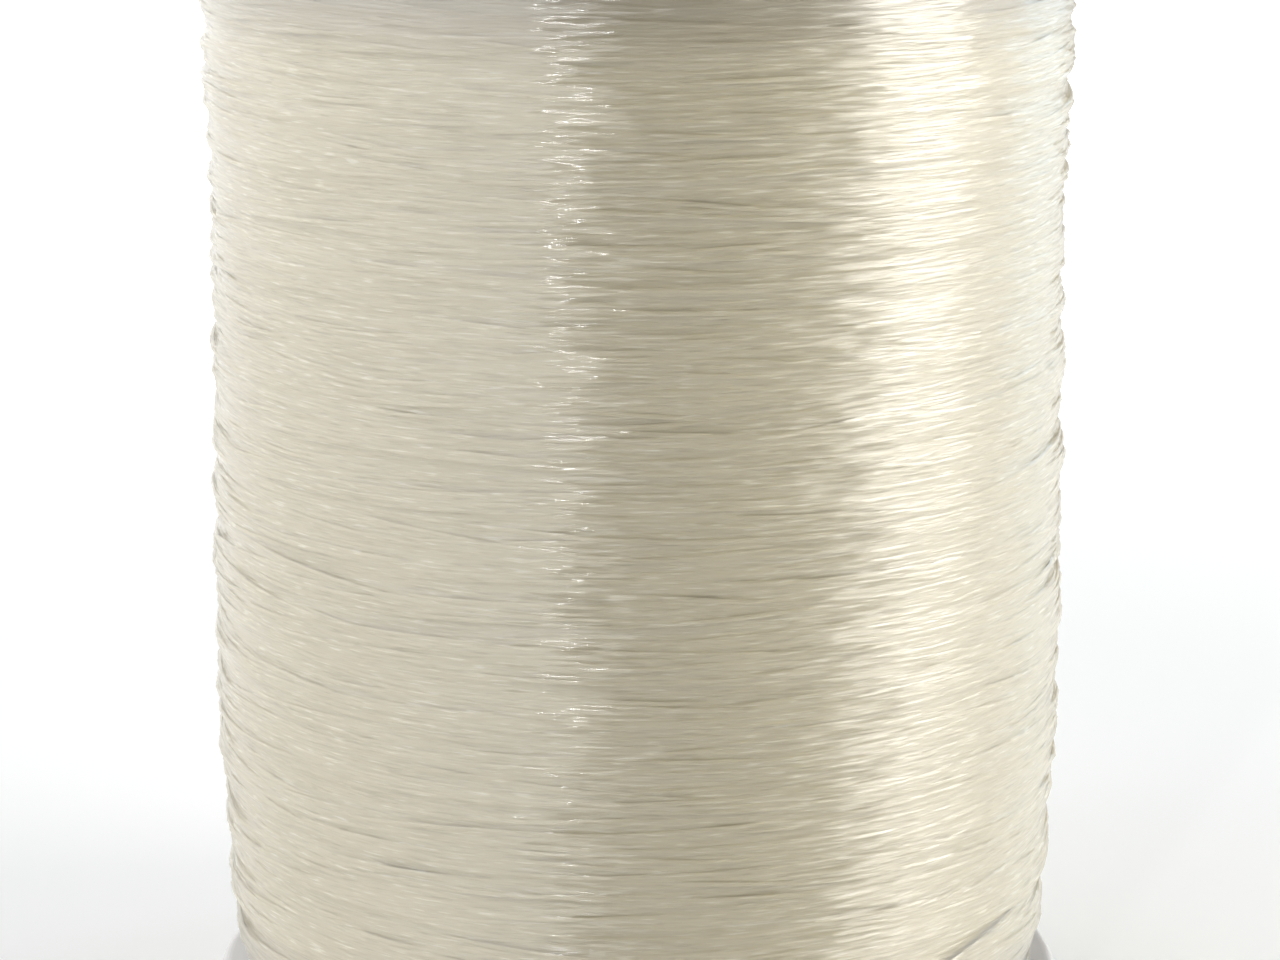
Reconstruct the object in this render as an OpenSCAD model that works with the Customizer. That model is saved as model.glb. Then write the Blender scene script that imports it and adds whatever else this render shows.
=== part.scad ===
// Spool of clear fishing line: a core tube, two press-in flanges and the wound line.
// Millimetres, +Z along the spool, origin at the centre of the bottom rim.

/* [Flanges] */
// Diameter over a flange
flange_d = 60.6; // [56:0.1:70]
// Thickness of a flange's disc
disc_t = 2.4; // [1.6:0.1:4]
// How far the rim and the hub stand past the disc on its outer side
rim_stand = 1.2; // [0.6:0.1:2.4]
// Radial width of the rim
rim_w = 2.4; // [1.8:0.1:4]
// Rounding of the rim's outer edges
rim_round = 0.8; // [0.3:0.1:1]
// Diameter of the bore for a spindle
bore_d = 10; // [6:0.1:12]
// Wall of the hub around the bore
hub_wall = 2; // [1.2:0.1:3]
// How far the hub reaches inside the core tube, past the disc
hub_depth = 12; // [6:0.5:18]
// How far the spigot reaches inside the core tube, past the disc
spigot_depth = 8; // [4:0.5:14]
// Wall of the spigot
spigot_wall = 1.4; // [1:0.1:2]
// Chamfer that leads the spigot into the core tube
spigot_lead = 0.6; // [0.2:0.1:0.9]
// Number of webs between the hub and the spigot
web_count = 6; // [3:1:10]
// Thickness of a web
web_t = 1.2; // [0.8:0.1:2]
// How far the webs reach inside the core tube, past the disc
web_depth = 5; // [2:0.5:8]
// How far the notch for the line's end is cut into the rim
notch_depth = 2.6; // [1.5:0.1:3.2]
// Room between the line and each wall of the notch
notch_gap = 0.15; // [0.1:0.01:0.4]
// Direction of the notch, from +X towards +Y
notch_angle = -100; // [-175:1:175]

/* [Core tube] */
// Length between the flanges
core_length = 74; // [50:1:110]
// Outer diameter of the core tube
core_d = 28; // [24:0.5:34]
// Wall of the core tube
core_wall = 1.6; // [1:0.1:2]
// Room between the spigot and the core tube
spigot_gap = 0.05; // [0.02:0.01:0.1]

/* [Line] */
// Diameter of the line
line_d = 0.35; // [0.2:0.01:0.6]
// How far a flange stands out past the outer turns
rim_over = 0.4; // [0.2:0.1:8]
// Turns of the outer layer, the run down to the notch among them
turns = 24; // [8:1:24]
// Height of the slope that the lower turns lie on
slope_h = 14; // [8:0.5:20]
// Drop in radius along that slope
slope_drop = 0.8; // [0.2:0.1:2]
// Height of the rounded shoulder at each end of the winding
shoulder_h = 3; // [1:0.1:5]
// Drop in radius across that shoulder
shoulder_drop = 1.6; // [0.4:0.1:3]
// Room between the wound line and the core tube, and between it and each flange
line_gap = 0.05; // [0.02:0.01:0.2]

/* [Start tape] */
// Width of the tape along the core tube
tape_w = 12; // [6:0.5:20]
// Part of a circle that the tape covers, in degrees
tape_sweep = 80; // [30:5:180]
// Thickness of the tape
tape_t = 0.12; // [0.05:0.01:0.3]
// Height of the tape's lower edge above the bottom flange
tape_height = 3; // [1:0.5:20]

/* [Labels] */
// Thickness of a label
label_t = 0.15; // [0.08:0.01:0.4]
// Room between a label and the recess around it
label_gap = 0.6; // [0.2:0.1:2]

/* [Hidden] */
$fn = 96;

// Flange and core radii and heights
flange_r = flange_d / 2;
flange_h = rim_stand + disc_t;
recess_r = flange_r - rim_w;
bore_r = bore_d / 2;
hub_r = bore_r + hub_wall;
core_r = core_d / 2;
core_inner_r = core_r - core_wall;
spigot_r = core_inner_r - spigot_gap;
spigot_inner_r = spigot_r - spigot_wall;
spool_h = core_length + 2 * flange_h;
notch_w = line_d + 2 * notch_gap;
notch_root_r = flange_r - notch_depth;
// How far a web or a cut reaches past the face that it meets
bite = 0.3;
// Chords in a quarter circle of the rim's rounding
round_steps = 6;

// Outer layer of turns: rings to a turn, sides to a ring, and the sag of a chord between two rings
rings_per_turn = 24;
sides = 6;
winding_r = flange_r - rim_over;
chord_sag = winding_r * (1 - cos(180 / rings_per_turn));
// Least room between the outer turns and the layers under them
lay_gap = 0.02;
pack_r = winding_r - line_d - chord_sag - lay_gap;
lift = line_d / 2 + chord_sag + lay_gap;

// Quarter ellipse of the shoulder, as height and radius lost, from the flange to the full radius
shoulder_steps = 4;
shoulder = [
    for (i = [0 : shoulder_steps])
    let (a = 90 * i / shoulder_steps)
    [shoulder_h * (1 - cos(a)), shoulder_drop * (1 - sin(a))]
];

// Radius of the inner layers by height above the bottom flange
pack_profile = concat(
    [for (p = shoulder) [p[0], pack_r - slope_drop - p[1]]],
    [[slope_h, pack_r]],
    [for (i = [shoulder_steps : -1 : 0]) [core_length - shoulder[i][0], pack_r - shoulder[i][1]]]
);

// The turns run down from below the top shoulder. The last quarter turn is the run to the notch
tail_share = 0.25;
tail_rings = round(tail_share * rings_per_turn);
helix_rings = round((turns - tail_share) * rings_per_turn);
turns_top = core_length - shoulder_h - line_d;
turns_bottom = shoulder_h + line_d;
step_angle = 360 / rings_per_turn;
tail_angle = notch_angle + tail_share * 360;
// Place of the line in the notch, as a share of the notch's depth from the rim
notch_place = 1 / 3;
notch_line_r = flange_r - notch_place * notch_depth;
// Height above the flange at which the line turns straight down into the notch, in line diameters
dive_share = 3;
dive_h = dive_share * line_d;

// Point at a radius, a direction and a height above the bottom flange
function at(r, a, u) = [r * cos(a), r * sin(a), flange_h + u];

function unit(v) = v / norm(v);

function turn_height(i) = turns_top + (turns_bottom - turns_top) * i / helix_rings;

function turn_angle(i) = tail_angle + (helix_rings - i) * step_angle;

function turn_point(i) =
    let (u = turn_height(i))
    at(lookup(u, pack_profile) + lift, turn_angle(i), u);

// Run from the last turn down to the notch, steeper towards its end
function tail_point(i) =
    let (s = i / tail_rings, start_r = lookup(turns_bottom, pack_profile) + lift)
    at(
        start_r + (notch_line_r - start_r) * s,
        tail_angle - s * tail_share * 360,
        turns_bottom + (dive_h - turns_bottom) * s * s
    );

// Middle line of the tube: square out of the inner layers, round the turns, square into the notch
line_start = at(lookup(turns_top, pack_profile) + lay_gap, turn_angle(0), turns_top);
line_end = at(notch_line_r, notch_angle, -disc_t);
line_path = concat(
    [line_start],
    [for (i = [0 : helix_rings]) turn_point(i)],
    [for (i = [1 : tail_rings]) tail_point(i)],
    [line_end]
);
line_last = len(line_path) - 1;

// Direction at a point of the path, halfway between the two stretches that meet there
line_dirs = [
    for (i = [0 : line_last])
    let (
        before = i == 0 ? [0, 0, 0] : unit(line_path[i] - line_path[i - 1]),
        after = i == line_last ? [0, 0, 0] : unit(line_path[i + 1] - line_path[i])
    )
    unit(before + after)
];

// Side direction of each ring, carried along the path without twist
function carried(side, i) = unit(side - (side * line_dirs[i]) * line_dirs[i]);
line_sides = [
    for (
        i = 0, side = carried([0, 0, 1], 0);
        i <= line_last;
        i = i + 1, side = carried(side, min(i, line_last))
    )
    side
];

// Least gap of the tube to itself, between rings half a turn to one and a half turns apart
half_turn = rings_per_turn / 2;
least_gap = min([
    for (i = [0 : line_last - half_turn])
    for (j = [i + half_turn : min(i + 3 * half_turn, line_last)])
    norm(line_path[i] - line_path[j])
]) - line_d;
echo(line_least_gap_mm = least_gap);

// Quarter circle of the rim's rounding about [r, z], from a start direction
function quarter(r, z, start) = [
    for (i = [0 : round_steps])
    [r, z] + rim_round * [cos(start + 90 * i / round_steps), sin(start + 90 * i / round_steps)]
];

// Half section of a flange, with its outer face at z = 0 and its inner face at flange_h
function flange_section() = concat(
    [
        [bore_r, 0],
        [hub_r, 0],
        [hub_r, rim_stand],
        [recess_r, rim_stand],
        [recess_r, 0]
    ],
    quarter(flange_r - rim_round, rim_round, -90),
    quarter(flange_r - rim_round, flange_h - rim_round, 0),
    [
        [spigot_r, flange_h],
        [spigot_r, flange_h + spigot_depth - spigot_lead],
        [spigot_r - spigot_lead, flange_h + spigot_depth],
        [spigot_inner_r, flange_h + spigot_depth],
        [spigot_inner_r, flange_h],
        [hub_r, flange_h],
        [hub_r, flange_h + hub_depth],
        [bore_r, flange_h + hub_depth]
    ]
);

// Webs that tie the hub to the spigot
module webs() {
    for (i = [0 : web_count - 1])
        rotate(i * 360 / web_count)
            translate([hub_r - bite, -web_t / 2, flange_h - bite])
                cube([spigot_inner_r - hub_r + 2 * bite, web_t, web_depth + bite]);
}

// Round-ended slot through the rim that grips the line's end
module notch() {
    rotate(notch_angle)
        translate([notch_root_r, 0, -bite]) {
            cylinder(d = notch_w, h = flange_h + 2 * bite);
            translate([0, -notch_w / 2, 0])
                cube([notch_depth + bite, notch_w, flange_h + 2 * bite]);
        }
}

module flange() {
    difference() {
        union() {
            rotate_extrude() polygon(flange_section());
            webs();
        }
        notch();
    }
}

module bottom_flange() {
    color([0.80, 0.80, 0.78])
        flange();
}

module top_flange() {
    color([0.80, 0.80, 0.78])
        translate([0, 0, spool_h])
            rotate([180, 0, 0])
                flange();
}

module core_tube() {
    color([0.86, 0.86, 0.83])
        translate([0, 0, flange_h])
            difference() {
                cylinder(r = core_r, h = core_length);
                translate([0, 0, -bite])
                    cylinder(r = core_inner_r, h = core_length + 2 * bite);
            }
}

// Curved patch on the core tube, thicker and longer all round by a margin
module tape_patch(margin) {
    patch_w = tape_w + 2 * margin;
    edge_angle = atan(margin / core_r);
    rotate(-edge_angle)
        translate([0, 0, flange_h + tape_height - margin])
            rotate_extrude(angle = tape_sweep + 2 * edge_angle)
                translate([core_r, 0])
                    square([tape_t + margin, patch_w]);
}

module start_tape() {
    color([0.93, 0.90, 0.80])
        tape_patch(0);
}

// Inner layers of the line, with a pocket for the tape under them
module line_pack() {
    inner_r = core_r + line_gap;
    top = len(pack_profile) - 1;
    section = concat(
        [[inner_r, line_gap], [pack_profile[0][1], line_gap]],
        [for (i = [1 : top - 1]) [pack_profile[i][1], pack_profile[i][0]]],
        [[pack_profile[top][1], core_length - line_gap], [inner_r, core_length - line_gap]]
    );
    color([0.86, 0.83, 0.75])
        difference() {
            translate([0, 0, flange_h])
                rotate_extrude() polygon(section);
            tape_patch(line_gap);
        }
}

// Outer layer of the line: one unbroken tube of triangles along the path
module line_outer_turns() {
    points = [
        for (i = [0 : line_last])
        for (j = [0 : sides - 1])
        let (side = line_sides[i], other = cross(line_dirs[i], side), a = j * 360 / sides)
        line_path[i] + line_d / 2 * (cos(a) * side + sin(a) * other)
    ];
    wall = [
        for (i = [0 : line_last - 1])
        for (j = [0 : sides - 1])
        let (a = i * sides + j, b = i * sides + (j + 1) % sides)
        each [[a, a + sides, b], [b, a + sides, b + sides]]
    ];
    last = line_last * sides;
    caps = [
        for (j = [1 : sides - 2])
        each [[0, j, j + 1], [last, last + j + 1, last + j]]
    ];
    color([0.92, 0.89, 0.80])
        polyhedron(points, concat(wall, caps));
}

// Blank ring on a flange's outer face
module label_ring() {
    difference() {
        cylinder(r = recess_r - label_gap, h = label_t);
        translate([0, 0, -bite])
            cylinder(r = hub_r + label_gap, h = label_t + 2 * bite);
    }
}

module bottom_label() {
    color([0.95, 0.95, 0.93])
        translate([0, 0, rim_stand - label_t])
            label_ring();
}

module top_label() {
    color([0.95, 0.95, 0.93])
        translate([0, 0, spool_h - rim_stand])
            label_ring();
}

bottom_flange();
top_flange();
core_tube();
start_tape();
line_pack();
line_outer_turns();
bottom_label();
top_label();
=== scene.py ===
"""Looks of the fishing line spool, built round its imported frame.

The wound line is laid turn by turn. Each turn rests on the turns under it, rolls a little into the grooves
between them and is drawn tight, so the surface gets the crossings, ridges and gaps of a real winding.
Blender works in metres. The winding is worked out in millimetres, and MM turns them into metres.
"""

import math

import bpy
import numpy as np
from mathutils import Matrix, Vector


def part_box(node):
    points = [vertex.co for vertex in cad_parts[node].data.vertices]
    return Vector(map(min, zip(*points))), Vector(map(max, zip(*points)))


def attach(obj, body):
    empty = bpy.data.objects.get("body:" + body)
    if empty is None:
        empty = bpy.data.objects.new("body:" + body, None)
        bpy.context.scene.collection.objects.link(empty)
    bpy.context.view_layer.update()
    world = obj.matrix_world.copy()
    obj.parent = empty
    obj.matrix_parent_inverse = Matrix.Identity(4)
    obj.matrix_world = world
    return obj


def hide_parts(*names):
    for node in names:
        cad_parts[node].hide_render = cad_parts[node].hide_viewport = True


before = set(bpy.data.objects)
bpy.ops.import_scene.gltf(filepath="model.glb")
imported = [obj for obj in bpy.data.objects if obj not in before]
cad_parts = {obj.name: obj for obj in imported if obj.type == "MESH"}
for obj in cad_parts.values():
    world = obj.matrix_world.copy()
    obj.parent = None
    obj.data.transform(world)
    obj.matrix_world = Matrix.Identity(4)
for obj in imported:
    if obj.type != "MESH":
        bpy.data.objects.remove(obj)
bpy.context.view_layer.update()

MM = 0.001
FULL_TURN = 2 * math.pi
WHITE = (1.0, 1.0, 1.0)

# Places taken from the frame, in millimetres
FLANGE_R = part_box("bottom_flange")[1].x / MM
CORE_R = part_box("core_tube")[1].x / MM
WINDING_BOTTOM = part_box("core_tube")[0].z / MM
WINDING_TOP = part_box("core_tube")[1].z / MM
WINDING_H = WINDING_TOP - WINDING_BOTTOM

# The photograph: its width in pixels, the focal length in those pixels and the column of the spool's axis
PHOTO_W = 1280
FOCAL_PX = 3800
AXIS_COLUMN = 638

# The camera: sensor width, nearest and farthest sight and distance in metres, pitch, and height of its aim
SENSOR_W = 36.0
CAMERA_SIGHT = (0.01, 50.0)
CAMERA_DISTANCE = 269.1 * MM
CAMERA_PITCH = math.radians(13.2)
AIM_ABOVE_FLANGE = 35.2

# The line: its diameter in millimetres, samples in a turn, sides of a strand and the seed of its course
LINE_D = 0.35
LINE_R = LINE_D / 2
SAMPLES = 80
SIDES = 6
SEED = 7

# Height above the bottom flange, and how far the finished winding lies inside the flange's rim there
OUTLINE = [
    (0.0, 2.9), (1.5, 1.9), (3.4, 1.35), (8.0, 1.05), (14.0, 0.58), (24.0, 0.33),
    (36.0, 0.46), (53.0, 0.72), (62.0, 0.48), (69.2, 0.36), (71.0, 0.6), (72.4, 1.05), (74.0, 2.0),
]

# Layers: depth of the relief under the outline, pitch of the close under layer, and the pitches and turns of
# the crossing passes
RELIEF_DEPTH = 0.7
UNDER_PITCH = 0.372
CROSS_PITCH = (2.5, 6.0)
CROSS_TURNS = 370

# A crossing pass: how far it wanders up and down, over how many samples, and in how many it turns back
WANDER = 0.5
WANDER_REACH = SAMPLES // 2
TURN_BACK = SAMPLES // 5

# Waves over the winding: how many, their lengths along the axis and their size. The swell lifts the relief,
# and the drift moves turns aside
SWELL = (10, (2.5, 9.0), 0.045)
DRIFT = (8, (3.0, 12.0), 0.07)

# The most turns of a wave round the axis, and the shares of the size that it may have
WAVE_TURNS = 2
WAVE_SHARES = (0.5, 1.0)

# The relief's cell, and the steps in which a turn is drawn tight over the relief
GRID = 0.05
TIGHTENING = 8

# How a turn settles: its steps, the reach on either side that tells the slope, and its most roll in a step
SETTLING = 10
SLOPE_REACH = 2 * GRID
ROLL_MOST = 0.15

# Share of the roll that lasts, samples that smooth it, and samples at the line's end that don't settle
HOLD = 0.97
ROLL_WINDOW = 7
UNSETTLED = 2 * SAMPLES

# How far a strand presses into those under it
PRESS = 0.15

# Highest that a crossing may stand over the outline, and where it begins to be pressed down
CROSSING_TOP = 0.3
CROSSING_FREE = 0.1

# The inner layers: their gap to the core tube, and the step between the rows of their face in cells
CORE_GAP = 0.05
FILL_STEP = 5

# Smoothing of that face along the axis and round it, in cells
FILL_REACH = 7
FILL_AROUND = 2

# Valleys between the turns are filled up to a depth under the relief's mean over a wider reach of cells
VALLEY_DEPTH = 0.08
VALLEY_REACH = 30

# The line's end: direction of the notch, and inset of the line in it
NOTCH_ANGLE = math.radians(-100)
NOTCH_LINE_INSET = 0.87

# The last run towards the notch: its share of a turn, and the heights where it starts and ends
TAIL_TURN = 95 / 360
TAIL_HEIGHT = 10.0
TAIL_FOOT = 0.7

# The drop into the notch: its start above the flange, its steps, and its end above the ground
DROP_START = 0.35
DROP_STEPS = 6
LINE_END_Z = 0.4

# How much a strand's shading follows the whole winding and not its own roundness: light spreads in clear line
SOFT_SHADE = 0.8

# Noise on the line, in features per metre on each axis: long along the strands and fine across them
# The dashes vary the line's tone, and their brightest parts are painted glints
DASHES_AND_PAINTED_GLINTS = (480, 480, 7000)
GLOSS = (120, 120, 1900)
WAVES = (330, 330, 5000)
KINKS = (550, 550, 5400)
COAT_WAVES = (260, 260, 3600)
GLINTS = (450, 450, 7000)

# Colours of the line: stops of its dashes, painted shade next to a flange, and from where to where it clears
DASH_AND_PAINTED_GLINT_STOPS = [
    (0.28, (0.615, 0.553, 0.395)),
    (0.40, (0.70, 0.638, 0.468)),
    (0.62, (0.715, 0.653, 0.483)),
    # The brightest stop is a painted glint
    (0.74, (0.86, 0.82, 0.675)),
]
PAINTED_END_SHADE = (0.485, 0.435, 0.325)
END_SHADE_SPAN = (0.8, 7.0)

# The line's gloss: refraction, roughness of body and coat, and the turn that lays it across the strands
NYLON_IOR = 1.85
NYLON_ROUGHNESS = (0.40, 0.50)
COAT_ROUGHNESS = 0.12
GLOSS_TURN = 0.25

# How far the normals of the line's body and its coat are turned, and the depth of their fine relief
WAVE_TILT = 0.8
COAT_TILT = 0.32
KINK_DEPTH = 0.07 * MM
GLINT_DEPTH = 0.05 * MM

# Share of the light that passes on through a strand
PASSED_ON = 0.4

# A noise's mean, and the spans of it over which colours and other values change
NOISE_MEAN = 0.5
COLOUR_SPAN = (0.35, 0.65)
VALUE_SPAN = (0.3, 0.7)

# The room: its plain light, how dim its front shows in gloss, and the front's edges and blur in degrees
WORLD_STRENGTH = 0.04
FRONT_DIM = 0.06
FRONT_EDGES = (-18.0, 49.0)
FRONT_BLUR = (9.0, 26.0)

# The floor: size and drop below the spool in metres, colour, roughness, and brightness in gloss, in front and
# elsewhere
FLOOR_SIZE = 4.0
FLOOR_DROP = 0.2 * MM
FLOOR_COLOUR = (0.8, 0.8, 0.8)
FLOOR_ROUGHNESS = 0.9
FLOOR_GLOW = (0.18, 0.8)

# How white the floor shows by itself near and far, and the distances in metres between which that changes
FLOOR_SHOWN = (0.18, 0.95)
FLOOR_FADE = (0.10, 0.45)

# Soft lamps: azimuth from the camera's side to the right, elevation, width and height in metres, brightness
# and colour
LAMP_DISTANCE = 0.7
LAMPS = {
    "right_strip": (78, 14, 0.37, 0.42, 6.9, (1.0, 0.96, 0.86)),
    "right_wide": (88, 21, 0.85, 0.58, 1.75, (0.98, 0.99, 1.0)),
    "right_rim": (130, 15, 0.40, 0.44, 2.4, (0.66, 0.84, 1.0)),
    "left_front": (-47, 24, 0.62, 0.78, 1.45, WHITE),
    "left_side": (-99, 28, 0.83, 0.90, 1.6, WHITE),
    "left_back": (-152, 24, 0.66, 0.80, 1.2, (0.95, 0.98, 1.0)),
    "thin_edge": (-17.5, 14, 0.006, 0.40, 90.0, WHITE),
}

# Axes of the relief, and places of a Mix node's colour sockets
AROUND = 0
ALONG = 1
MIX_FIRST = 6
MIX_SECOND = 7
MIX_RESULT = 2


def outline_radius(height):
    """Radius of the finished winding at a height above the bottom flange."""
    heights, insets = zip(*OUTLINE)
    return FLANGE_R - np.interp(height, heights, insets)


def inside_flanges(heights):
    """Heights of a strand's middle kept between the flanges."""
    return np.clip(heights, LINE_R, WINDING_H - LINE_R)


def unit(vectors):
    """Vectors brought to unit length."""
    return vectors / np.linalg.norm(vectors, axis=-1, keepdims=True)


def bell(count):
    """Weights of a smoothing window."""
    weights = np.hanning(count + 2)[1:-1]
    return weights / weights.sum()


def smooth_noise(rng, count, reach):
    """Noise of about unit size along a run of samples, smooth over a reach of samples."""
    spare = 4
    knots = rng.normal(size=count // reach + spare)
    at = np.arange(count) / reach
    low = at.astype(int)
    part = at - low
    ease = part * part * (3 - 2 * part)
    return knots[low] * (1 - ease) + knots[low + 1] * ease


def make_waves(rng, count, lengths, size):
    """Waves over the winding, each as turns round the axis, rate along it, phase and size."""
    waves = []
    for _ in range(count):
        around = rng.integers(-WAVE_TURNS, WAVE_TURNS + 1)
        rate = FULL_TURN / rng.uniform(*lengths)
        phase = rng.uniform(0, FULL_TURN)
        waves.append((around, rate, phase, size * rng.uniform(*WAVE_SHARES)))
    return waves


def wave_sum(waves, angle, height):
    """Sum of the waves at directions and heights."""
    return sum(s * np.sin(n * angle + k * height + p) for n, k, p, s in waves)


def round_turns(heights):
    """Heights along the line with its corners rounded, where a pass turns back."""
    box = np.ones(TURN_BACK) / TURN_BACK
    padded = np.pad(heights, TURN_BACK, mode="edge")
    return np.convolve(padded, box, "same")[TURN_BACK:-TURN_BACK]


def pass_heights(rng):
    """Heights along the line above the bottom flange, and where the crossing passes begin."""
    low = LINE_R
    high = WINDING_H - LINE_R
    under_turns = (high - low) / UNDER_PITCH
    runs = [np.linspace(low, high, int(under_turns * SAMPLES))]
    start = len(runs[0])
    turns = 0
    down = True
    while turns < CROSS_TURNS or not down:
        pitch = rng.uniform(*CROSS_PITCH)
        count = int((high - low) / pitch * SAMPLES)
        ends = (high, low) if down else (low, high)
        wander = WANDER * smooth_noise(rng, count, WANDER_REACH)
        runs.append(np.linspace(*ends, count) + wander)
        turns += count / SAMPLES
        down = not down
    last_count = int((high - TAIL_HEIGHT) / CROSS_PITCH[1] * SAMPLES)
    runs[-1] = np.linspace(runs[-1][0], TAIL_HEIGHT, last_count)
    runs.append(np.linspace(TAIL_HEIGHT, TAIL_FOOT, int(TAIL_TURN * SAMPLES)))
    heights = np.concatenate(runs)
    heights[start:] = round_turns(heights)[start:]
    return heights, start


def strand_cells(relief, heights):
    """Rows of the relief across a strand's samples, each with the strand's height there over its middle."""
    reach = int(LINE_R / GRID)
    cells = np.clip(np.round(heights / GRID).astype(int), reach, relief.shape[ALONG] - 1 - reach)
    for step in range(-reach, reach + 1):
        yield cells + step, math.sqrt(LINE_R**2 - (step * GRID) ** 2)


def resting_radius(relief, columns, heights):
    """Least radius of the line's middle at which it clears the relief."""
    best = np.zeros(len(columns))
    for cells, stand in strand_cells(relief, heights):
        best = np.maximum(best, relief[columns, cells] + stand)
    return best


def press_into(relief, columns, heights, radii):
    """Add a turn of line to the relief."""
    for cells, stand in strand_cells(relief, heights):
        relief[columns, cells] = np.maximum(relief[columns, cells], radii + stand)


def settle(relief, columns, heights, before):
    """How far the samples of a turn roll sideways into the grooves, going on from the turn before."""
    kernel = bell(ROLL_WINDOW)
    pad = len(kernel) // 2
    shift = np.full(len(heights), before)
    for _ in range(SETTLING):
        above = resting_radius(relief, columns, heights + shift + SLOPE_REACH)
        below = resting_radius(relief, columns, heights + shift - SLOPE_REACH)
        shift = shift - np.clip(above - below, -ROLL_MOST, ROLL_MOST)
        padded = np.concatenate([np.full(pad, before), shift, np.full(pad, shift[-1])])
        shift = HOLD * np.convolve(padded, kernel, "valid")
    return shift


def draw_tight(resting, before):
    """Radii of a turn that rests where it must and runs straight in between."""
    sag = FLANGE_R * (1 - math.cos(FULL_TURN / SAMPLES))
    radii = resting.copy()
    for _ in range(TIGHTENING):
        left = np.concatenate([[before if before else radii[0]], radii[:-1]])
        right = np.concatenate([radii[1:], [radii[-1]]])
        radii = np.maximum(resting, (left + right) / 2 - sag)
    return radii


def limit_crossings(radii, heights):
    """Radii with the highest crossings pressed down towards the outline."""
    free = outline_radius(heights) - LINE_R + CROSSING_FREE
    over = np.maximum(radii - free, 0)
    room = CROSSING_TOP - CROSSING_FREE
    return np.minimum(radii, free) + room * (1 - np.exp(-over / room))


def bare_relief(rng, rows):
    """Radii under the laid turns, with columns round the axis, rows along it and a swell."""
    directions = NOTCH_ANGLE + np.arange(SAMPLES)[:, None] * FULL_TURN / SAMPLES
    swell = make_waves(rng, *SWELL)
    return outline_radius(rows)[None, :] - RELIEF_DEPTH + wave_sum(swell, directions, rows[None, :])


def lay_turns(relief, columns, heights, start):
    """Radii of the line, laid turn by turn. It settles the heights and adds each turn to the relief."""
    count = len(heights)
    radii = np.zeros(count)
    shift = np.zeros(1)
    for first in range(0, count, SAMPLES):
        turn = slice(first, min(first + SAMPLES, count))
        if start <= first < count - UNSETTLED:
            shift = settle(relief, columns[turn], heights[turn], shift[-1])
            heights[turn] = inside_flanges(heights[turn] + shift)
        resting = resting_radius(relief, columns[turn], heights[turn]) - PRESS
        radii[turn] = draw_tight(resting, radii[first - 1] if first else 0)
        press_into(relief, columns[turn], heights[turn], radii[turn])
    return radii


def lay_line():
    """Radius, direction and height of each sample, where the crossing passes begin, and the whole relief."""
    rng = np.random.default_rng(SEED)
    heights, start = pass_heights(rng)
    count = len(heights)
    to_go = count - 1 - np.arange(count)
    columns = to_go % SAMPLES
    angles = NOTCH_ANGLE + to_go * FULL_TURN / SAMPLES
    rows = np.arange(int(WINDING_H / GRID) + 1) * GRID
    relief = bare_relief(rng, rows)
    drift = make_waves(rng, *DRIFT)
    heights = inside_flanges(heights + wave_sum(drift, angles, heights))
    radii = lay_turns(relief, columns, heights, start)
    relief = limit_crossings(relief - LINE_R, rows[None, :]) + LINE_R
    return limit_crossings(radii, heights), angles, heights, start, relief


def add_tail(radii, angles, heights):
    """The line carried over the shoulder and straight down into the notch."""
    tail = int(TAIL_TURN * SAMPLES)
    notch_r = FLANGE_R - NOTCH_LINE_INSET
    radii = radii.copy()
    radii[-tail:] = np.maximum(radii[-tail:], np.linspace(radii[-tail], notch_r, tail))
    drop = np.linspace(DROP_START, LINE_END_Z - WINDING_BOTTOM, DROP_STEPS)
    radii = np.concatenate([radii, np.full(DROP_STEPS, radii[-1])])
    angles = np.concatenate([angles, np.full(DROP_STEPS, NOTCH_ANGLE)])
    heights = np.concatenate([heights, drop])
    return radii, angles, heights


def smooth_mesh(name, points, faces):
    """A mesh with smooth faces."""
    mesh = bpy.data.meshes.new(name)
    mesh.from_pydata(points, [], faces)
    mesh.polygons.foreach_set("use_smooth", [True] * len(mesh.polygons))
    mesh.update()
    return mesh


def add_object(name, mesh, material):
    """A new object in the scene with one material."""
    obj = bpy.data.objects.new(name, mesh)
    bpy.context.scene.collection.objects.link(obj)
    mesh.materials.append(material)
    return obj


def lean_outward(mesh, own, outward):
    """Turn a mesh's shading normals from its own directions towards those of the whole winding."""
    leaning = unit((1 - SOFT_SHADE) * own + SOFT_SHADE * outward)
    mesh.normals_split_custom_set_from_vertices(leaning.reshape(-1, 3).tolist())


def tube_faces(count):
    """Faces of a closed tube of a count of rings."""
    ring = np.arange(count - 1)[:, None] * SIDES
    side = np.arange(SIDES)[None, :]
    after = (side + 1) % SIDES
    quads = np.stack([ring + side, ring + after, ring + SIDES + after, ring + SIDES + side], axis=-1)
    last = (count - 1) * SIDES
    first_cap = list(range(SIDES))[::-1]
    last_cap = [last + i for i in range(SIDES)]
    return [*quads.reshape(-1, 4).tolist(), first_cap, last_cap]


def tube_mesh(name, points, outward, radius):
    """Closed tube of SIDES sides along points, with a corner of each ring turned outward."""
    ahead = unit(np.gradient(points, axis=0))
    outward = unit(outward - (outward * ahead).sum(axis=1, keepdims=True) * ahead)
    across = np.cross(ahead, outward)
    turn = FULL_TURN * np.arange(SIDES) / SIDES
    rings = (
        points[:, None, :]
        + radius * np.cos(turn)[None, :, None] * outward[:, None, :]
        + radius * np.sin(turn)[None, :, None] * across[:, None, :]
    )
    mesh = smooth_mesh(name, rings.reshape(-1, 3).tolist(), tube_faces(len(points)))
    lean_outward(mesh, (rings - points[:, None, :]) / radius, outward[:, None, :])
    return mesh


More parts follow.
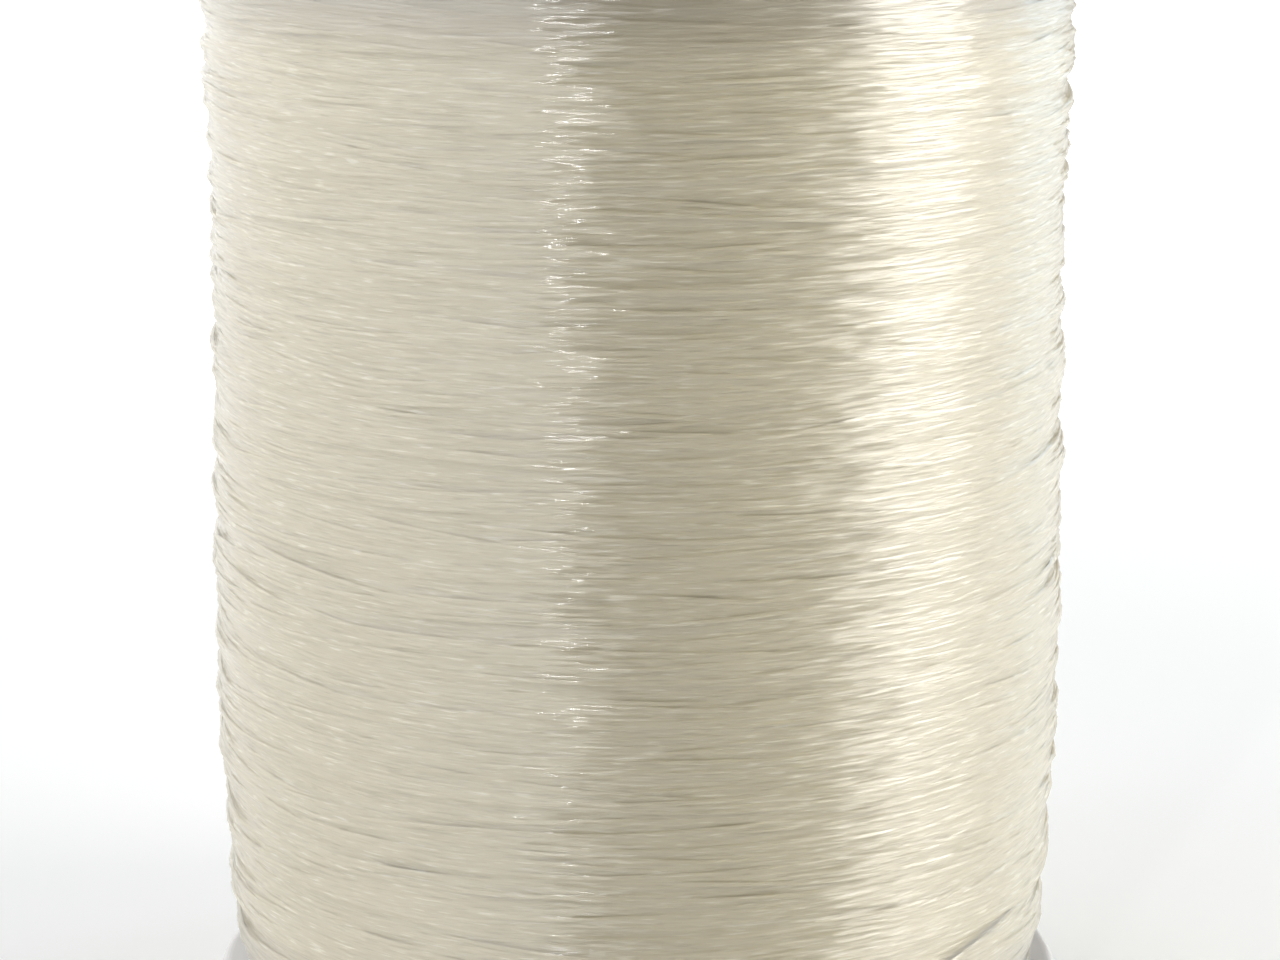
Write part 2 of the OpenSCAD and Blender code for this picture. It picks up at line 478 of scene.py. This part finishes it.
def line_piece(name, radii, angles, heights, material):
    """A stretch of the laid line as a piece of the scene."""
    outward = np.stack([np.cos(angles), np.sin(angles), np.zeros(len(angles))], axis=1)
    points = outward * radii[:, None]
    points[:, 2] = WINDING_BOTTOM + heights
    return add_object(name, tube_mesh(name, points * MM, outward, LINE_R * MM), material)


def soften(values, reach, axis, mode):
    """Values averaged over a reach of cells along an axis."""
    widths = [(reach, reach) if i == axis else (0, 0) for i in range(values.ndim)]
    padded = np.pad(values, widths, mode=mode)
    return np.apply_along_axis(np.convolve, axis, padded, bell(2 * reach + 1), "valid")


def soft_relief(relief, reach):
    """The relief averaged over a reach of cells along the axis, and a little round it."""
    return soften(soften(relief, reach, ALONG, "edge"), FILL_AROUND, AROUND, "wrap")


def spool_point(radius, angle, height):
    """A point of the winding in metres, with its height counted from the bottom flange."""
    return (radius * math.cos(angle) * MM, radius * math.sin(angle) * MM, (WINDING_BOTTOM + height) * MM)


def inner_layers(relief, material):
    """The layers under the visible turns: a ring on the core tube that follows their relief."""
    name = "line_inner_layers"
    face = np.maximum(soft_relief(relief, FILL_REACH), soft_relief(relief, VALLEY_REACH) - VALLEY_DEPTH)
    rows = np.arange(1, relief.shape[ALONG] - 1, FILL_STEP)
    heights = rows * GRID
    inside = CORE_R + CORE_GAP
    size = len(rows) + 2
    points = []
    faces = []
    for i in range(SAMPLES):
        angle = NOTCH_ANGLE + FULL_TURN * i / SAMPLES
        section = [(inside, heights[0]), *zip(face[i, rows], heights), (inside, heights[-1])]
        points += [spool_point(r, angle, h) for r, h in section]
        here = i * size
        there = (i + 1) % SAMPLES * size
        for j in range(size):
            after = (j + 1) % size
            faces.append((here + j, there + j, there + after, here + after))
    mesh = smooth_mesh(name, points, faces)
    own = np.array([normal.vector for normal in mesh.vertex_normals])
    lean_outward(mesh, own, unit(np.array(points) * (1, 1, 0)))
    return add_object(name, mesh, material)


def new_material(name):
    """A node material, with its nodes, its links and its Principled shader."""
    material = bpy.data.materials.new(name)
    material.use_nodes = True
    tree = material.node_tree
    return material, tree.nodes, tree.links, tree.nodes["Principled BSDF"]


def maths(nodes, links, operation, first, second):
    """A Math node on two sockets or numbers."""
    node = nodes.new("ShaderNodeMath")
    node.operation = operation
    for socket, value in zip(node.inputs, (first, second)):
        if isinstance(value, (int, float)):
            socket.default_value = value
        else:
            links.new(value, socket)
    return node.outputs["Value"]


def axes_of(nodes, links, space):
    """The place of a surface point or a direction in a space, as separate axes."""
    place = nodes.new("ShaderNodeTexCoord")
    axes = nodes.new("ShaderNodeSeparateXYZ")
    links.new(place.outputs[space], axes.inputs["Vector"])
    return axes.outputs


def map_range(nodes, links, value, span, results, smooth=False):
    """A value taken from one result to the other as it crosses a span."""
    node = nodes.new("ShaderNodeMapRange")
    if smooth:
        node.interpolation_type = "SMOOTHSTEP"
    node.inputs["From Min"].default_value = span[0]
    node.inputs["From Max"].default_value = span[1]
    node.inputs["To Min"].default_value = results[0]
    node.inputs["To Max"].default_value = results[1]
    links.new(value, node.inputs["Value"])
    return node.outputs["Result"]


def stretched_noise(nodes, links, scale, detail=1.0, roughness=0.5):
    """Noise in the object's own space, stretched by a scale for each axis (features per metre)."""
    place = nodes.new("ShaderNodeTexCoord")
    mapping = nodes.new("ShaderNodeMapping")
    mapping.inputs["Scale"].default_value = scale
    noise = nodes.new("ShaderNodeTexNoise")
    noise.inputs["Scale"].default_value = 1.0
    noise.inputs["Detail"].default_value = detail
    noise.inputs["Roughness"].default_value = roughness
    links.new(place.outputs["Object"], mapping.inputs["Vector"])
    links.new(mapping.outputs["Vector"], noise.inputs["Vector"])
    return noise.outputs["Fac"]


def colour_stops(nodes, links, factor, stops):
    """Colours that go through stops, each a value of the factor and a colour, in rising order."""
    ramp = nodes.new("ShaderNodeValToRGB")
    elements = ramp.color_ramp.elements
    for _ in stops[2:]:
        elements.new(NOISE_MEAN)
    for element, (place, colour) in zip(elements, stops):
        element.position = place
        element.color = (*colour, 1)
    links.new(factor, ramp.inputs["Fac"])
    return ramp.outputs["Color"]


def add_bump(nodes, links, shader, factor, distance, strength=1.0, layer="Normal", base=None):
    """Fine relief on a shader's normal, or on its coat's."""
    bump = nodes.new("ShaderNodeBump")
    bump.inputs["Distance"].default_value = distance
    bump.inputs["Strength"].default_value = strength
    links.new(factor, bump.inputs["Height"])
    if base:
        links.new(base, bump.inputs["Normal"])
    links.new(bump.outputs["Normal"], shader.inputs[layer])


def vector_maths(nodes, operation):
    """A Vector Math node."""
    node = nodes.new("ShaderNodeVectorMath")
    node.operation = operation
    return node


def wandering_normal(nodes, links, around, scale, tilt):
    """The surface's normal turned to and fro along the strands, where they wave over the strands below."""
    wander = stretched_noise(nodes, links, scale)
    amount = maths(nodes, links, "MULTIPLY", maths(nodes, links, "SUBTRACT", wander, NOISE_MEAN), tilt)
    aside = vector_maths(nodes, "SCALE")
    links.new(around, aside.inputs[0])
    links.new(amount, aside.inputs["Scale"])
    surface = nodes.new("ShaderNodeNewGeometry")
    turned = vector_maths(nodes, "ADD")
    links.new(surface.outputs["Normal"], turned.inputs[0])
    links.new(aside.outputs["Vector"], turned.inputs[1])
    normal = vector_maths(nodes, "NORMALIZE")
    links.new(turned.outputs["Vector"], normal.inputs[0])
    return normal.outputs["Vector"]


def paint_end_shade(nodes, links, colour):
    """Painted shade: the line's colour turned to a dimmer one next to the flanges, where less light comes
    through the line.
    """
    height = axes_of(nodes, links, "Object")["Z"]
    from_bottom = maths(nodes, links, "SUBTRACT", height, WINDING_BOTTOM * MM)
    from_top = maths(nodes, links, "SUBTRACT", WINDING_TOP * MM, height)
    nearest = maths(nodes, links, "MINIMUM", from_bottom, from_top)
    span = (END_SHADE_SPAN[0] * MM, END_SHADE_SPAN[1] * MM)
    mix = nodes.new("ShaderNodeMix")
    mix.data_type = "RGBA"
    links.new(map_range(nodes, links, nearest, span, (0.0, 1.0), smooth=True), mix.inputs["Factor"])
    mix.inputs[MIX_FIRST].default_value = (*PAINTED_END_SHADE, 1)
    links.new(colour, mix.inputs[MIX_SECOND])
    return mix.outputs[MIX_RESULT]


def add_nylon_body(nodes, links, shader, tangent):
    """The nylon's own gloss, drawn out across the strands, on normals that wave along them."""
    gloss = stretched_noise(nodes, links, GLOSS)
    roughness = map_range(nodes, links, gloss, VALUE_SPAN, NYLON_ROUGHNESS)
    links.new(roughness, shader.inputs["Roughness"])
    shader.inputs["IOR"].default_value = NYLON_IOR
    shader.inputs["Specular IOR Level"].default_value = 1.0
    shader.inputs["Anisotropic"].default_value = 1.0
    shader.inputs["Anisotropic Rotation"].default_value = GLOSS_TURN
    links.new(tangent, shader.inputs["Tangent"])
    waving = wandering_normal(nodes, links, tangent, WAVES, WAVE_TILT)
    add_bump(nodes, links, shader, stretched_noise(nodes, links, KINKS), KINK_DEPTH, base=waving)


def add_nylon_coat(nodes, links, shader, tangent):
    """The crisp gloss on top, which breaks into glints."""
    shader.inputs["Coat Weight"].default_value = 1.0
    shader.inputs["Coat Roughness"].default_value = COAT_ROUGHNESS
    shader.inputs["Coat IOR"].default_value = NYLON_IOR
    waving = wandering_normal(nodes, links, tangent, COAT_WAVES, COAT_TILT)
    glints = stretched_noise(nodes, links, GLINTS)
    add_bump(nodes, links, shader, glints, GLINT_DEPTH, layer="Coat Normal", base=waving)


def nylon_material():
    """Clear nylon line, faintly cream: glossy strands that let part of the light pass on through them."""
    material, nodes, links, shader = new_material("clear_nylon")
    dashes = stretched_noise(nodes, links, DASHES_AND_PAINTED_GLINTS)
    # The colour carries painted glints from its brightest dashes and painted shade next to the flanges
    cream = paint_end_shade(nodes, links, colour_stops(nodes, links, dashes, DASH_AND_PAINTED_GLINT_STOPS))
    links.new(cream, shader.inputs["Base Color"])
    around = nodes.new("ShaderNodeTangent")
    around.direction_type = "RADIAL"
    around.axis = "Z"
    add_nylon_body(nodes, links, shader, around.outputs["Tangent"])
    add_nylon_coat(nodes, links, shader, around.outputs["Tangent"])
    through = nodes.new("ShaderNodeBsdfTranslucent")
    links.new(cream, through.inputs["Color"])
    mix = nodes.new("ShaderNodeMixShader")
    mix.inputs["Fac"].default_value = PASSED_ON
    links.new(shader.outputs["BSDF"], mix.inputs[1])
    links.new(through.outputs["BSDF"], mix.inputs[2])
    links.new(mix.outputs["Shader"], nodes["Material Output"].inputs["Surface"])
    return material


def vary(nodes, links, shader, noise, colours, roughness):
    """Spread a shader's colour and roughness over a noise."""
    colour = colour_stops(nodes, links, noise, list(zip(COLOUR_SPAN, colours)))
    links.new(colour, shader.inputs["Base Color"])
    links.new(map_range(nodes, links, noise, VALUE_SPAN, roughness), shader.inputs["Roughness"])


def frosted_plastic():
    """Translucent grey-white moulded plastic with a satin face."""
    material, nodes, links, shader = new_material("frosted_plastic")
    cloud = stretched_noise(nodes, links, scale=(90, 90, 90), detail=4.0)
    greys = ((0.56, 0.54, 0.525), (0.64, 0.62, 0.605))
    vary(nodes, links, shader, cloud, colours=greys, roughness=(0.30, 0.45))
    shader.inputs["IOR"].default_value = 1.49
    shader.inputs["Transmission Weight"].default_value = 0.25
    grain = stretched_noise(nodes, links, scale=(2500, 2500, 2500), detail=3.0)
    add_bump(nodes, links, shader, grain, distance=0.03 * MM, strength=0.3)
    return material


def label_film():
    """Blank matt label film."""
    material, nodes, links, shader = new_material("label_film")
    fibres = stretched_noise(nodes, links, scale=(2600, 2600, 2600), detail=4.0, roughness=0.7)
    whites = ((0.81, 0.81, 0.79), (0.85, 0.85, 0.83))
    vary(nodes, links, shader, fibres, colours=whites, roughness=(0.5, 0.65))
    add_bump(nodes, links, shader, fibres, distance=0.02 * MM, strength=0.4)
    return material


def tape_film():
    """Yellowish adhesive tape."""
    material, nodes, links, shader = new_material("tape_film")
    streaks = stretched_noise(nodes, links, scale=(300, 300, 1500), detail=3.0)
    yellows = ((0.80, 0.74, 0.58), (0.88, 0.83, 0.68))
    vary(nodes, links, shader, streaks, colours=yellows, roughness=(0.3, 0.45))
    return material


def paint_node(node, material):
    """Show a CAD node with a material of the scene's own."""
    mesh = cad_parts[node].data
    mesh.materials.clear()
    mesh.materials.append(material)


def step_up(nodes, links, value, edge, blur):
    """A smooth step from 0 to 1 of a value in radians, at an edge with a blur, both in degrees."""
    span = (math.radians(edge - blur / 2), math.radians(edge + blur / 2))
    return map_range(nodes, links, value, span, (0.0, 1.0), smooth=True)


def ray_kinds(nodes, links):
    """Two values: 1 for the camera's own rays, and 1 for rays in gloss or through clear things."""
    path = nodes.new("ShaderNodeLightPath")
    gloss = maths(nodes, links, "MAXIMUM", path.outputs["Is Glossy Ray"], path.outputs["Is Transmission Ray"])
    return path.outputs["Is Camera Ray"], gloss


def studio_strength(nodes, links, space, dim, bright):
    """Bright all round, dim towards the dark room in front of the spool."""
    axes = axes_of(nodes, links, space)
    ahead = maths(nodes, links, "MULTIPLY", axes["Y"], -1.0)
    azimuth = maths(nodes, links, "ARCTAN2", axes["X"], ahead)
    left = step_up(nodes, links, azimuth, FRONT_EDGES[0], FRONT_BLUR[0])
    right = step_up(nodes, links, azimuth, FRONT_EDGES[1], FRONT_BLUR[1])
    front = maths(nodes, links, "SUBTRACT", left, right)
    dark = maths(nodes, links, "MULTIPLY", front, bright - dim)
    return maths(nodes, links, "SUBTRACT", bright, dark)


def make_world():
    """White behind the object, a white studio with a dim front in gloss, and a little plain light."""
    world = bpy.data.worlds.new("studio")
    bpy.context.scene.world = world
    world.use_nodes = True
    nodes = world.node_tree.nodes
    links = world.node_tree.links
    seen, gloss = ray_kinds(nodes, links)
    studio = studio_strength(nodes, links, "Generated", FRONT_DIM, 1.0)
    in_gloss = maths(nodes, links, "MULTIPLY", gloss, studio)
    shown = maths(nodes, links, "MAXIMUM", seen, in_gloss)
    either = maths(nodes, links, "MAXIMUM", seen, gloss)
    neither = maths(nodes, links, "SUBTRACT", 1.0, either)
    plain = maths(nodes, links, "MULTIPLY", neither, WORLD_STRENGTH)
    sky = nodes["Background"]
    sky.inputs["Color"].default_value = (*WHITE, 1)
    links.new(maths(nodes, links, "ADD", shown, plain), sky.inputs["Strength"])


def floor_white(nodes, links):
    """How white the floor shows by itself: little round the spool, where its shadow lies, more far out."""
    place = nodes.new("ShaderNodeTexCoord")
    distance = vector_maths(nodes, "LENGTH")
    links.new(place.outputs["Object"], distance.inputs[0])
    return map_range(nodes, links, distance.outputs["Value"], FLOOR_FADE, FLOOR_SHOWN, smooth=True)


def floor_material():
    """Pale floor that shows white and keeps the object's shadow."""
    material, nodes, links, shader = new_material("floor_white")
    shader.inputs["Base Color"].default_value = (*FLOOR_COLOUR, 1)
    shader.inputs["Roughness"].default_value = FLOOR_ROUGHNESS
    seen, gloss = ray_kinds(nodes, links)
    direct = maths(nodes, links, "MULTIPLY", seen, floor_white(nodes, links))
    glow = studio_strength(nodes, links, "Object", *FLOOR_GLOW)
    in_gloss = maths(nodes, links, "MULTIPLY", gloss, glow)
    shader.inputs["Emission Color"].default_value = (*WHITE, 1)
    links.new(maths(nodes, links, "MAXIMUM", direct, in_gloss), shader.inputs["Emission Strength"])
    return material


def make_floor():
    """The floor under the spool."""
    half = FLOOR_SIZE / 2
    corners = [(-half, -half), (half, -half), (half, half), (-half, half)]
    mesh = bpy.data.meshes.new("floor")
    mesh.from_pydata([(x, y, -FLOOR_DROP) for x, y in corners], [], [(0, 1, 2, 3)])
    add_object("floor", mesh, floor_material())


def direction(azimuth, elevation):
    """Direction out from the spool, with the azimuth counted from the camera's side to the right."""
    level = math.cos(elevation)
    return Vector((math.sin(azimuth) * level, -math.cos(azimuth) * level, math.sin(elevation)))


def look_back(name, data, aim, out, distance):
    """A lamp or camera placed at a distance out from its aim, looking back at it."""
    obj = bpy.data.objects.new(name, data)
    obj.location = aim + out * distance
    obj.rotation_mode = "QUATERNION"
    obj.rotation_quaternion = (-out).to_track_quat("-Z", "Y")
    bpy.context.scene.collection.objects.link(obj)
    return obj


def add_softbox(name, azimuth, elevation, width, height, brightness, colour):
    """A soft rectangular lamp aimed at the spool's middle."""
    data = bpy.data.lights.new(name, "AREA")
    data.shape = "RECTANGLE"
    data.size = width
    data.size_y = height
    data.energy = brightness * math.pi * width * height
    data.color = colour
    centre = Vector((0, 0, (WINDING_BOTTOM + WINDING_H / 2) * MM))
    out = direction(math.radians(azimuth), math.radians(elevation))
    look_back(name, data, centre, out, LAMP_DISTANCE)


def make_lights():
    """A warm strip in broad light on the right, soft light along the left, a thin bright edge in front."""
    for name, values in LAMPS.items():
        add_softbox(name, *values)


def make_camera():
    """The photograph's viewpoint."""
    data = bpy.data.cameras.new("camera")
    data.sensor_fit = "HORIZONTAL"
    data.sensor_width = SENSOR_W
    data.lens = FOCAL_PX / PHOTO_W * SENSOR_W
    data.clip_start, data.clip_end = CAMERA_SIGHT
    aside = (PHOTO_W / 2 - AXIS_COLUMN) * CAMERA_DISTANCE / FOCAL_PX
    aim = Vector((aside, 0, (WINDING_BOTTOM + AIM_ABOVE_FLANGE) * MM))
    out = direction(0.0, CAMERA_PITCH)
    bpy.context.scene.camera = look_back("camera", data, aim, out, CAMERA_DISTANCE)


def make_line():
    """The wound line as four pieces: inner layers, close under layer and two lengths of crossing turns."""
    nylon = nylon_material()
    radii, angles, heights, start, relief = lay_line()
    middle = (start + len(radii)) // 2
    under = slice(0, start + 1)
    cross = slice(start, middle + 1)
    end = add_tail(radii[middle:], angles[middle:], heights[middle:])
    body = inner_layers(relief, nylon)
    lower = line_piece("line_under_turns", radii[under], angles[under], heights[under], nylon)
    inner = line_piece("line_crossing_turns", radii[cross], angles[cross], heights[cross], nylon)
    outer = line_piece("line_outer_turns_wound", *end, nylon)
    for piece in (body, lower, inner, outer):
        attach(piece, "root")
    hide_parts("line_pack")
    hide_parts("line_outer_turns")


def dress_nodes():
    """Materials of the CAD nodes that stay."""
    plastic = frosted_plastic()
    film = label_film()
    for node in ("bottom_flange", "top_flange", "core_tube"):
        paint_node(node, plastic)
    for node in ("bottom_label", "top_label"):
        paint_node(node, film)
    paint_node("start_tape", tape_film())


make_camera()
make_line()
dress_nodes()
make_world()
make_floor()
make_lights()
bpy.context.scene.view_settings.view_transform = "Standard"
